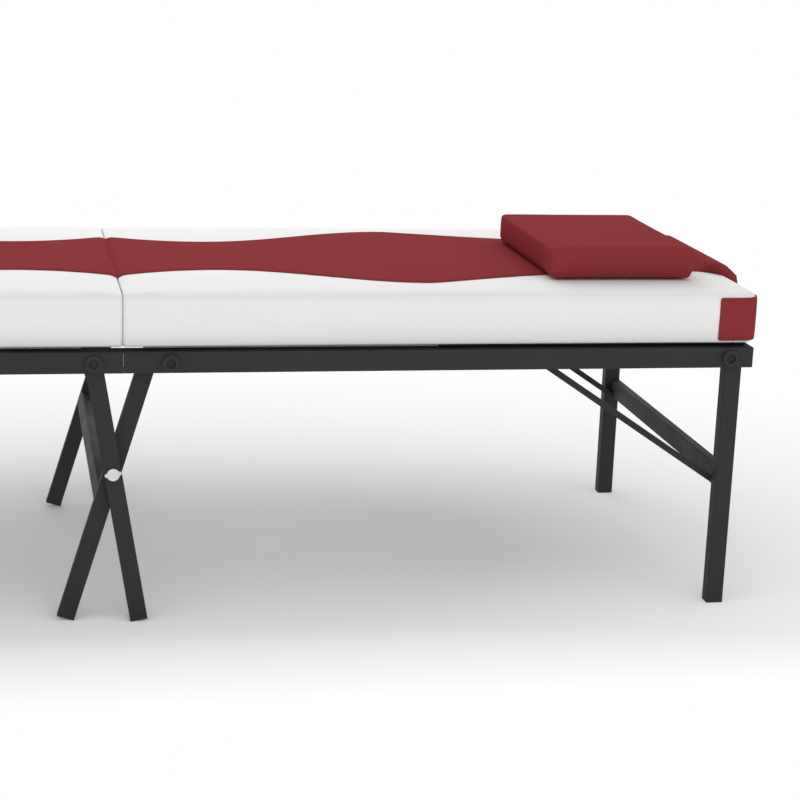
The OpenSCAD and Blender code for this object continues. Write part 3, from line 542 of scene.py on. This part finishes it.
def swell_with_cloth(piece, cap, pressure=4.0, frames=20):
    """Lets the cover settle as vinyl under air pressure: Cloth with gravity off for a set number of frames, then
    moves each point at most its own cap along what the simulation gave. cap is one length per point."""
    scene = bpy.context.scene
    rest = np.empty(len(piece.data.vertices) * 3)
    piece.data.vertices.foreach_get("co", rest)
    rest = rest.reshape(-1, 3)
    held = piece.vertex_groups.new(name="held")
    for index in np.flatnonzero(cap <= 1e-6).tolist():
        held.add([index], 1.0, "REPLACE")
    cloth = piece.modifiers.new("Cloth", "CLOTH")
    for name, value in {"quality": 5, "mass": 0.35, "tension_stiffness": 22, "compression_stiffness": 22,
                        "bending_stiffness": 2.5, "vertex_group_mass": "held", "use_pressure": True,
                        "uniform_pressure_force": pressure}.items():
        setattr(cloth.settings, name, value)
    cloth.settings.effector_weights.gravity = 0
    cloth.collision_settings.use_collision = False
    cloth.point_cache.frame_end = frames
    for step in range(1, frames + 1):
        scene.frame_set(step)
    shown = piece.evaluated_get(bpy.context.evaluated_depsgraph_get())
    moved = np.empty(len(rest) * 3)
    shown.data.vertices.foreach_get("co", moved)
    move = moved.reshape(-1, 3) - rest
    length = np.linalg.norm(move, axis=1, keepdims=True)
    limit = np.asarray(cap)[:, None]
    move *= np.where(length > 1e-9, limit * np.tanh(length / np.maximum(limit, 1e-9)) / np.maximum(length, 1e-9), 0)
    piece.modifiers.remove(cloth)
    piece.vertex_groups.remove(held)
    scene.frame_set(1)
    piece.data.vertices.foreach_set("co", (rest + move).ravel())
    piece.data.update()


def band_half_width(x, length):
    """Half width of the band at x: it opens by a square towards the split, follows half a cosine from its waist
    to its widest, another, hurried by a power of 0.6, to its neck, and a power of 1.5 out to the end."""
    x_waist, x_belly, x_neck = (share * length for share in (BAND_WAIST, BAND_BELLY, BAND_NECK))
    waist, split, neck, end = (BAND_WIDEST * share for share in BAND_WIDTHS)
    to_waist, rise = ramp(x, 0, x_waist), ramp(x, x_waist, x_belly - x_waist)
    fall, tail = ramp(x, x_belly, x_neck - x_belly) ** 0.6, ramp(x, x_neck, length - x_neck)
    return np.select(
        [x < x_waist, x < x_belly, x < x_neck],
        [waist + (split - waist) * (1 - to_waist) ** 2,
         waist + (BAND_WIDEST - waist) * (1 - np.cos(np.pi * rise)) / 2,
         BAND_WIDEST + (neck - BAND_WIDEST) * (1 - np.cos(np.pi * fall)) / 2], neck + (end - neck) * tail ** 1.5)


def edge_lift(distance, height, round_r, seam, groove, puff):
    """Height of a sewn panel above its ground on a grid of distances from its edge: a quarter circle of round_r up
    to height, a narrow groove at seam, and a soft puff beyond it. The grid's own border stays at the lining."""
    up = height - round_r + np.sqrt(np.maximum(round_r ** 2 - np.maximum(round_r - distance, 0) ** 2, 0))
    dip = groove * np.exp(-((distance - seam) / (0.22 * seam)) ** 2)
    lift = up - dip + puff * (1 - np.exp(-np.maximum(distance - seam, 0) / 0.012))
    lift[:, [0, -1]] = lift[[0, -1], :] = SKIN_GAP
    return lift


def sewn_panel(name, upper, lower, turn):
    """A closed red panel: a grid of points, and under it its lining, whose faces turn the other way. turn holds
    the signs that carry the panel to its side of the bed."""
    rows, columns = upper.shape[:2]
    points = np.vstack([(grid * turn).reshape(-1, 3) for grid in (upper, lower)])
    faces = grid_faces(rows, columns, False) + grid_faces(rows, columns, False, rows * columns, flip=True)
    return smooth_piece(name, points, faces, operator_material("red_vinyl"), weld=1e-6)


def edge_offsets(span, fine, coarse):
    """Distances from the first edge across a span: close together at both edges, and coarse apart between."""
    count = max(2, int(round((span - 2 * fine[-1]) / coarse)))
    middle = np.linspace(fine[-1], span - fine[-1], count + 1)[1:-1]
    return np.concatenate([fine, middle, span - fine[::-1]])


def stitches_along(name, points, normals, pitch, length, thick, material):
    """A row of sewn stitches. Each is a six-sided grain of thread: rings at shares of its length whose radius
    follows half a sine, laid along the path with its middle at the surface."""
    step = np.linalg.norm(np.diff(points, axis=0), axis=1)
    way = np.concatenate([[0], np.cumsum(step)])
    places = np.arange(pitch / 2, way[-1] - pitch / 2, pitch)
    at, up, ahead = (np.stack([np.interp(where, way, column) for column in values.T], 1) for where, values in
                     ((places, points), (places, normals), (places + 0.001, points)))
    up, ahead = (arrow / (np.linalg.norm(arrow, axis=1, keepdims=True) + 1e-12) for arrow in (up, ahead - at))
    side = np.cross(ahead, up)
    rings, sides = 5, 6
    v = np.linspace(0.06, 0.94, rings)
    a = np.linspace(0, 2 * np.pi, sides, endpoint=False)
    radius = thick * np.sin(np.pi * v) ** 0.5
    local = (ahead[:, None, None, :] * ((v - 0.5) * length)[None, :, None, None]
             + side[:, None, None, :] * (radius[:, None] * np.cos(a))[None, :, :, None]
             + up[:, None, None, :] * (radius[:, None] * np.sin(a))[None, :, :, None])
    points = (at[:, None, None, :] + local).reshape(-1, 3)
    one = capped_faces(rings, sides)
    faces = [[point + k * rings * sides for point in face] for k in range(len(places)) for face in one]
    return smooth_piece(name, points, faces, material, weld=1e-7)


def operator_material(slot):
    """The finish of a record slot, made on first use."""
    made = bpy.data.materials.get("slot_" + slot)
    if made is None:
        made = NODE_FINISHES[slot](bpy.context.scene.massage_bed_colours)
        made.name = "slot_" + slot
    return made


class MASSAGE_OT_finishes(Operator):
    """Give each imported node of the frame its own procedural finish"""
    bl_idname = "massage_bed.finishes"
    bl_label = "Frame Finishes"

    def execute(self, context):
        slots = {row["node"]: row["material_slot"] for row in frame["record"]["subparts"]}
        for name, node in frame["nodes"].items():
            node.data.materials.clear()
            node.data.materials.append(operator_material(slots[name]))
        return {"FINISHED"}


class MASSAGE_OT_cushions(Operator):
    """Build the two white cushions: crowned pads whose long sides draw in, the foot's a mirror of the head's"""
    bl_idname = "massage_bed.cushions"
    bl_label = "Cushions"

    def execute(self, context):
        sizes, _ = settings(context)
        (low_x, _, low_z), (high_x, half, high_z) = CUSHION_LOW, CUSHION_HIGH
        inset, height = pad_profile(high_z - low_z, sizes.base_radius, sizes.edge_radius, sizes.crown, CROWN_REACH,
                                    half - FLAT_SPARE, 8)
        x, y = pad_plan(low_x, high_x, half, inset, sizes.split_share, SPLIT_CORNER, sizes.corner_radius,
                        WAIST_PULL, (8, 120, 60))
        z = np.repeat((low_z + height)[:, None], x.shape[1], 1)
        along = (x - low_x) / (high_x - low_x)
        lump = LUMP * (np.sin(23 * along + 3 * y) * np.cos(17 * y + 5 * along) + np.sin(41 * along - 9 * y) * 0.5)
        # The cover is free to swell away from the band, the base, the patches, the split and the pillow.
        beside_band = ramp(np.abs(y) - band_half_width(x, high_x), 0, BLEND)
        above_base = ramp(height, BASE_HELD, BLEND)[:, None]
        by_patches = ramp(x, high_x - PATCH_HELD, PATCH_BLEND)
        past_split = ramp(x, low_x, BLEND)
        pillow_x, pillow_y, _ = (PILLOW_LOW + PILLOW_HIGH) / 2
        pillow_long, pillow_wide, _ = PILLOW_HIGH - PILLOW_LOW
        around = np.maximum(np.abs(x - pillow_x) / pillow_long, np.abs(y - pillow_y) / pillow_wide)
        free = (beside_band * above_base * (1 - by_patches) * past_split
                * ramp(around, PILLOW_HELD, PILLOW_BLEND))
        points = np.stack([x, y, z + lump * free], -1).reshape(-1, 3)
        faces = capped_faces(*x.shape)
        # Only the head's cover is simulated. The foot's is the settled one in the mirror.
        settled = np.empty(points.size)
        for word, sign in HALVES.items():
            if sign > 0:
                cushion = smooth_piece(word + "_cushion_cover", points, faces, operator_material("white_vinyl"))
                swell_with_cloth(cushion, (sizes.swell * free).ravel() * CUSHION_SWELL)
                cushion.data.vertices.foreach_get("co", settled)
            else:
                cushion = smooth_piece(word + "_cushion_cover", settled.reshape(-1, 3) * (sign, 1, 1),
                                       [face[::-1] for face in faces], operator_material("white_vinyl"))
            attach(cushion, word + "_half")
            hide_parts(word + "_cushion")
        return {"FINISHED"}


class MASSAGE_OT_bands(Operator):
    """Build the red panels that run along the cushions and down their ends, with their stitching"""
    bl_idname = "massage_bed.bands"
    bl_label = "Bands"

    def execute(self, context):
        sizes, colours = settings(context)
        length, high, r, crown = CUSHION_HIGH[0], CUSHION_HIGH[2], sizes.edge_radius, sizes.crown
        x0, share = CUSHION_LOW[0], sizes.split_share

        def over_edge(start, count):
            """Insets and heights of the cushion's section from an angle up its edge to where its top is flat."""
            a, s = np.linspace(start, np.pi / 2, count), np.linspace(0, 1, 7)[1:]
            return (np.concatenate([r * (1 - np.cos(a)), r + (CROWN_REACH - r) * s]),
                    np.concatenate([high - crown - r + r * np.sin(a), high - crown * (1 - s) ** 2]))

        # The band follows the cushion's middle: up over its edge at the split, along the top and down the end.
        split_in, split_z = over_edge(np.pi / 4, 6)
        end_in, end_z = over_edge(0, 13)
        flat = np.linspace(x0 + share * CROWN_REACH, length - CROWN_REACH, 60)[1:-1]
        line_x = np.concatenate([x0 + share * split_in, flat, length - end_in[::-1], [length]])
        line_z = np.concatenate([split_z, high + 0 * flat, end_z[::-1], [CUSHION_LOW[2] + BAND_FOOT]])
        way = np.concatenate([[0], np.cumsum(np.hypot(np.diff(line_x), np.diff(line_z)))])
        thick, seam = sizes.band_thickness, sizes.seam_inset
        fine = seam * np.array([0, 0, 3, 9, 15, 22, 40, 52, 60, 65, 70, 78, 92, 125, 200]) / 65  # densest by the seam
        along, step = edge_offsets(way[-1], fine, BAND_STEP), 0.002
        sx, sz = np.interp(along, way, line_x), np.interp(along, way, line_z)
        dx, dz = (np.interp(along + step, way, line) - np.interp(along - step, way, line)
                  for line in (line_x, line_z))
        size = np.hypot(dx, dz)
        nx, nz = -dz / size, dx / size
        # Across it, each row of points runs from side to side, and all of them rise by the lift at their place.
        half = band_half_width(sx, length)
        span = 2 * half[:, None]
        left = np.repeat(fine[None, :], len(along), 0)
        centre = fine[-1] + (span - 2 * fine[-1]) * np.linspace(0, 1, BAND_COLUMNS + 2)[None, 1:-1]
        offset = np.hstack([left, centre, span - left[:, ::-1]])
        y = offset - half[:, None]
        near = np.minimum(np.minimum(offset, span - offset), np.minimum(along, way[-1] - along)[:, None])
        roll = ramp(sx, length - ROLL_START, ROLL_RUN)
        roll = roll * roll * (3 - 2 * roll)
        full_height = (thick + (sizes.roll_thickness - thick) * roll)[:, None] - SKIN_GAP
        rounding = BAND_ROUNDING + ROLL_ROUNDING * (full_height - thick).clip(0)
        lift = edge_lift(near, full_height, rounding, seam, BAND_GROOVE, BAND_PUFF)
        upper, lower = (np.stack([sx[:, None] + nx[:, None] * out, y, sz[:, None] + nz[:, None] * out], -1)
                        for out in (lift, 0 * lift + SKIN_GAP))
        stitched = slice(9, -9)
        thread_lift = full_height[:, 0] - BAND_GROOVE
        seam_normals = np.stack([nx, 0 * nx, nz], -1)[stitched]
        seam_paths = {edge: np.stack([sx + nx * thread_lift, ys, sz + nz * thread_lift], -1)[stitched]
                      for edge, ys in (("near", seam - half), ("far", half - seam))}
        thread_red = thread("Red Thread", shade(tuple(colours.red_vinyl), 0.7))
        for word, sign in HALVES.items():
            turn = np.array([sign, 1.0, 1.0])
            band = sewn_panel(word + "_band_panel", upper, lower, turn)
            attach(band, word + "_half")
            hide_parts(word + "_band")
            for edge, path in seam_paths.items():
                row = stitches_along(f"{word}_band_stitches_{edge}", path * turn, seam_normals * turn,
                                     sizes.stitch_pitch, sizes.stitch_pitch * BAND_STITCH, BAND_THREAD, thread_red)
                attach(row, word + "_half")
        return {"FINISHED"}


class MASSAGE_OT_patches(Operator):
    """Build the red patches sewn round the outer corners"""
    bl_idname = "massage_bed.patches"
    bl_label = "Corner Patches"

    def execute(self, context):
        sizes, colours = settings(context)
        length, base, thick = CUSHION_HIGH[0], CUSHION_LOW[2], CUSHION_HIGH[2] - CUSHION_LOW[2]
        half, corner, edge, under = CUSHION_HIGH[1], sizes.corner_radius, sizes.edge_radius, sizes.base_radius
        low, high = PATCH_LOW[2] - base - PATCH_LOWER, PATCH_HIGH[2] - base + PATCH_HIGHER
        shoulder = thick - sizes.crown - edge
        side, bend, wrap = PATCH_ALONG - corner, corner * math.pi / 2, PATCH_ROUND - corner
        total = side + bend + wrap
        fine = np.array([0, 0, 0.0002, 0.0006, 0.0012, 0.002, 0.0026, 0.003, 0.0034, 0.0042, 0.006])
        t, v = (edge_offsets(reach, fine, PATCH_STEP) for reach in (total, high - low))
        at_end = np.minimum(t, total - t)
        inside = np.maximum(PATCH_CORNER - at_end, 0)
        trim = (PATCH_CORNER - np.sqrt(PATCH_CORNER ** 2 - inside ** 2))[:, None]
        height = low + trim + (high - low - 2 * trim) * (v / (high - low))[None, :]
        near = np.minimum(at_end[:, None], np.minimum(height - low - trim, high - trim - height))
        lift = edge_lift(near, PATCH_SKIN, PATCH_EDGE, PATCH_SEAM, PATCH_GROOVE, PATCH_PUFF)

        def place(out):
            """Point on the cushion's side at that height, moved outwards by out: along the near side, round the
            corner's quarter circle, and along the end."""
            above = np.clip(height - shoulder, 0, edge)
            below = np.clip(under - height, 0, under)
            inset = edge - np.sqrt(edge ** 2 - above ** 2) + under - np.sqrt(under ** 2 - below ** 2)
            slope = np.arcsin(above / edge)
            reach = corner - inset + out * np.cos(slope)
            angle = np.clip((t - side) / bend, 0, 1)[:, None] * np.pi / 2
            ahead = np.clip(t - side, -side, 0)[:, None]
            beyond = np.clip(t - side - bend, 0, wrap)[:, None]
            x = length - corner + reach * np.sin(angle) + ahead
            y = -(half - corner) - reach * np.cos(angle) + beyond
            return np.stack([x, y, base + height + out * np.sin(slope)], -1)

        upper, lower = place(lift), place(0 * lift + SKIN_GAP)
        sewn = place(0 * lift + PATCH_SKIN - PATCH_GROOVE)
        k = SEAM_ROW
        path, normals = (np.vstack([of[k:-k, k], of[-k - 1, k:-k], of[k:-k, -k - 1][::-1], of[k, k:-k][::-1]])
                         for of in (sewn, place(0 * lift + 0.01) - sewn))
        thread_red = thread("Patch Thread", shade(tuple(colours.red_vinyl), 0.7))
        for word, sign in HALVES.items():
            for hand, cross in (("near", 1.0), ("far", -1.0)):
                turn = np.array([sign, cross, 1.0])
                patch = sewn_panel(f"{word}_corner_patch_{hand}", upper, lower, turn)
                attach(patch, word + "_half")
                row = stitches_along(f"{word}_patch_stitches_{hand}", path * turn, normals * turn,
                                     PATCH_PITCH, PATCH_STITCH, PATCH_THREAD, thread_red)
                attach(row, word + "_half")
            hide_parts(word + "_corner_patches")
        return {"FINISHED"}


class MASSAGE_OT_pillow(Operator):
    """Build the loose pillow: a flat foam block in vinyl, its edges sewn"""
    bl_idname = "massage_bed.pillow"
    bl_label = "Pillow"

    def execute(self, context):
        sizes, _ = settings(context)
        thick = PILLOW_HIGH[2] - PILLOW_LOW[2]
        x0, x1 = PILLOW_LOW[0], PILLOW_HIGH[0]
        middle, half = (PILLOW_LOW[1] + PILLOW_HIGH[1]) / 2, (PILLOW_HIGH[1] - PILLOW_LOW[1]) / 2
        edge = sizes.pillow_edge
        inset, height = pad_profile(thick, 2 * edge, edge, PILLOW_CROWN, PILLOW_REACH,
                                    (x1 - x0) / 2 - PILLOW_BORDER, 7)
        x, y = pad_plan(x0, x1, half, inset, 1.0, PILLOW_CORNER, PILLOW_CORNER, PILLOW_PULL, (6, 44, 70))
        # Two sewn grooves run round the sides, one near the bottom and one near the top.
        seams = [PILLOW_SEAM, thick - PILLOW_SEAM]
        groove = sum(PILLOW_GROOVE * np.exp(-((height - seam) / GROOVE_WIDTH) ** 2) for seam in seams)[:, None]
        dx = x - (x0 + x1) / 2
        x = x - np.sign(dx) * groove * (np.abs(dx) > (x1 - x0) / 2 - PILLOW_BORDER)
        y = y - np.sign(y) * groove * (np.abs(y) > half - PILLOW_BORDER)
        z = np.repeat((PILLOW_LOW[2] + height)[:, None], x.shape[1], 1)
        # The underside sinks to the band's top, and beside the band by the droop more.
        sink = PILLOW_LOW[2] - (CUSHION_HIGH[2] + sizes.band_thickness + sizes.pillow_rest)
        beside = ramp(np.abs(y + middle) - band_half_width(x, CUSHION_HIGH[0]), 0, DROOP_RUN)
        z = z - (sink + sizes.droop * beside) * np.clip(1 - height / (0.5 * thick), 0, 1)[:, None]
        points = np.stack([x, y + middle, z], -1).reshape(-1, 3)
        # The cover is free to swell on its sides only, and not at the seams.
        free = (ramp(height, PILLOW_SEAM + 0.001, 0.006) * ramp(np.abs(height - seams[1]), 0, 0.004)
                * (1 - ramp(inset, PILLOW_BORDER, BLEND)))
        free = np.repeat(free[:, None], x.shape[1], 1)
        pillow = smooth_piece("head_pillow", points, capped_faces(*x.shape), operator_material("pillow_vinyl"))
        swell_with_cloth(pillow, (sizes.swell * PILLOW_SWELL * free).ravel())
        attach(pillow, "pillow")
        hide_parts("pillow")
        return {"FINISHED"}


class MASSAGE_OT_stage(Operator):
    """Set the pale floor, the soft light and the camera at the photograph's angle"""
    bl_idname = "massage_bed.stage"
    bl_label = "Stage"

    def execute(self, context):
        scene = context.scene
        scene.view_settings.view_transform = "Standard"
        lay_floor(scene)
        light_scene(scene)
        place_camera(scene)
        return {"FINISHED"}


def mix_shaders(tree, factor, first, second, out):
    """Feeds the output with a blend of two shader nodes, all of the second where the factor is 1."""
    blend = add(tree, "ShaderNodeMixShader", 350, 0)
    for socket, source in zip(blend.inputs, (factor, first.outputs[0], second.outputs[0])):
        tree.links.new(source, socket)
    tree.links.new(blend.outputs[0], out.inputs[0])


def set_up(scene, name, data, place, side, up, aim):
    """An object at a place that looks along aim, with side to its right and up above it."""
    holder = bpy.data.objects.new(name, data)
    holder.matrix_world = Matrix([[side[i], up[i], -aim[i], place[i]] for i in range(3)] + [[0, 0, 0, 1]])
    scene.collection.objects.link(holder)
    return holder


def lay_floor(scene):
    """A level sheet under the bed. It takes shadow near the bed and fades to plain white away from it, which is
    sooner in front."""
    mesh = bpy.data.meshes.new("floor")
    mesh.from_pydata([(FLOOR_REACH * x, FLOOR_REACH * y, 0) for x, y in ((-1, -1), (1, -1), (1, 1), (-1, 1))], [],
                     [(0, 1, 2, 3)])
    floor = bpy.data.objects.new("floor", mesh)
    scene.collection.objects.link(floor)
    material = bpy.data.materials.new("Pale Floor")
    material.use_nodes = True
    tree = material.node_tree
    tree.nodes.clear()
    out = add(tree, "ShaderNodeOutputMaterial", 900, 0)
    matt = add(tree, "ShaderNodeBsdfDiffuse", 300, 100, Roughness=0.9)
    matt.inputs["Color"].default_value = (0.93, 0.93, 0.93, 1)
    white = add(tree, "ShaderNodeEmission", 300, -100, Strength=1.0)
    place = add(tree, "ShaderNodeTexCoord", -900, 0).outputs["Object"]
    far = add(tree, "ShaderNodeVectorMath", -500, 0, operation="LENGTH")
    tree.links.new(stretched(tree, place, (FLOOR_SQUEEZE, 1.0, 1.0), -700, 0), far.inputs[0])
    fade = spread(tree, far.outputs["Value"], *FLOOR_FADE, 0.0, 1.0, -300, 0)
    front = spread(tree, part(tree, place, "Y", -700, -250), *FRONT_FADE, 1.0, 0.0, -300, -250)
    factor = maths(tree, "MAXIMUM", fade, front, 100, -200)
    mix_shaders(tree, factor, matt, white, out)
    mesh.materials.append(material)


def light_scene(scene):
    """Even light from all round, a wide lamp high behind the bed and a weak one low in front."""
    world = bpy.data.worlds.new("Studio")
    scene.world = world
    world.use_nodes = True
    tree = world.node_tree
    tree.nodes.clear()
    out = add(tree, "ShaderNodeOutputWorld", 600, 0)
    fill = add(tree, "ShaderNodeBackground", 100, 100, Strength=0.79)
    seen_white = add(tree, "ShaderNodeBackground", 100, -100, Strength=1.0)
    for node in (fill, seen_white):
        node.inputs["Color"].default_value = (1, 1, 1, 1)
    path = add(tree, "ShaderNodeLightPath", -500, 0)
    seen = maths(tree, "MAXIMUM", path.outputs["Is Camera Ray"], path.outputs["Is Glossy Ray"], -300, 0)
    seen = maths(tree, "MAXIMUM", seen, path.outputs["Is Transmission Ray"], -100, 0)
    mix_shaders(tree, seen, fill, seen_white, out)
    target = (0.3, 0.0, 0.4)
    for name, place, energy, size in (("Back", (0.3, 3.2, 2.6), 62.0, 2.4), ("Front", (0.5, -4.2, 1.0), 17.0, 2.0)):
        lamp = bpy.data.lights.new(name, "AREA")
        lamp.energy, lamp.size = energy, size
        aim = np.subtract(target, place)
        aim /= np.linalg.norm(aim)
        side = np.cross(aim, [0, 0, 1.0])
        side /= np.linalg.norm(side)
        set_up(scene, name, lamp, place, side, np.cross(side, aim), aim)


def place_camera(scene):
    """The photograph's viewpoint, found from the bed's own corners: yaw and pitch aim it, roll turns it about its
    line of sight."""
    yaw, pitch, roll = 0.207356, -0.250973, 0.039318
    place = (-0.179145, -3.034453, 1.045022)
    focal_pixels, image = 1999.74, 800.0
    aim = np.array([math.sin(yaw) * math.cos(pitch), math.cos(yaw) * math.cos(pitch), math.sin(pitch)])
    right = np.array([math.cos(yaw), -math.sin(yaw), 0.0])
    up = np.cross(right, aim)
    side = right * math.cos(roll) + up * math.sin(roll)
    top = -right * math.sin(roll) + up * math.cos(roll)
    data = bpy.data.cameras.new("Photo View")
    data.sensor_width = 36.0
    data.lens = focal_pixels / image * data.sensor_width
    data.clip_start, data.clip_end = 0.05, 60.0
    scene.camera = set_up(scene, "Photo View", data, place, side, top, aim)


class MASSAGE_PT_panel(Panel):
    """Sizes, colours and pieces of the bed"""
    bl_label = "Massage Bed"
    bl_idname = "MASSAGE_PT_panel"
    bl_space_type = "VIEW_3D"
    bl_region_type = "UI"
    bl_category = "Massage Bed"

    def draw(self, context):
        sizes, colours = settings(context)
        for group in (sizes, colours):
            column = self.layout.column(align=True)
            for name in group.__annotations__:
                column.prop(group, name)
        for piece in PIECES:
            self.layout.operator(piece.bl_idname)


PIECES = (MASSAGE_OT_finishes, MASSAGE_OT_cushions, MASSAGE_OT_bands, MASSAGE_OT_patches, MASSAGE_OT_pillow,
          MASSAGE_OT_stage)
CLASSES = (MassageBedSizes, MassageBedColours, *PIECES, MASSAGE_PT_panel)


def register():
    for item in CLASSES:
        bpy.utils.register_class(item)
    bpy.types.Scene.massage_bed_sizes = PointerProperty(type=MassageBedSizes)
    bpy.types.Scene.massage_bed_colours = PointerProperty(type=MassageBedColours)


def unregister():
    del bpy.types.Scene.massage_bed_colours
    del bpy.types.Scene.massage_bed_sizes
    for item in reversed(CLASSES):
        bpy.utils.unregister_class(item)


def main():
    """Registers the add-on and builds every piece in order."""
    register()
    bpy.ops.massage_bed.finishes()
    bpy.ops.massage_bed.cushions()
    bpy.ops.massage_bed.bands()
    bpy.ops.massage_bed.patches()
    bpy.ops.massage_bed.pillow()
    bpy.ops.massage_bed.stage()


if __name__ == "__main__":
    main()
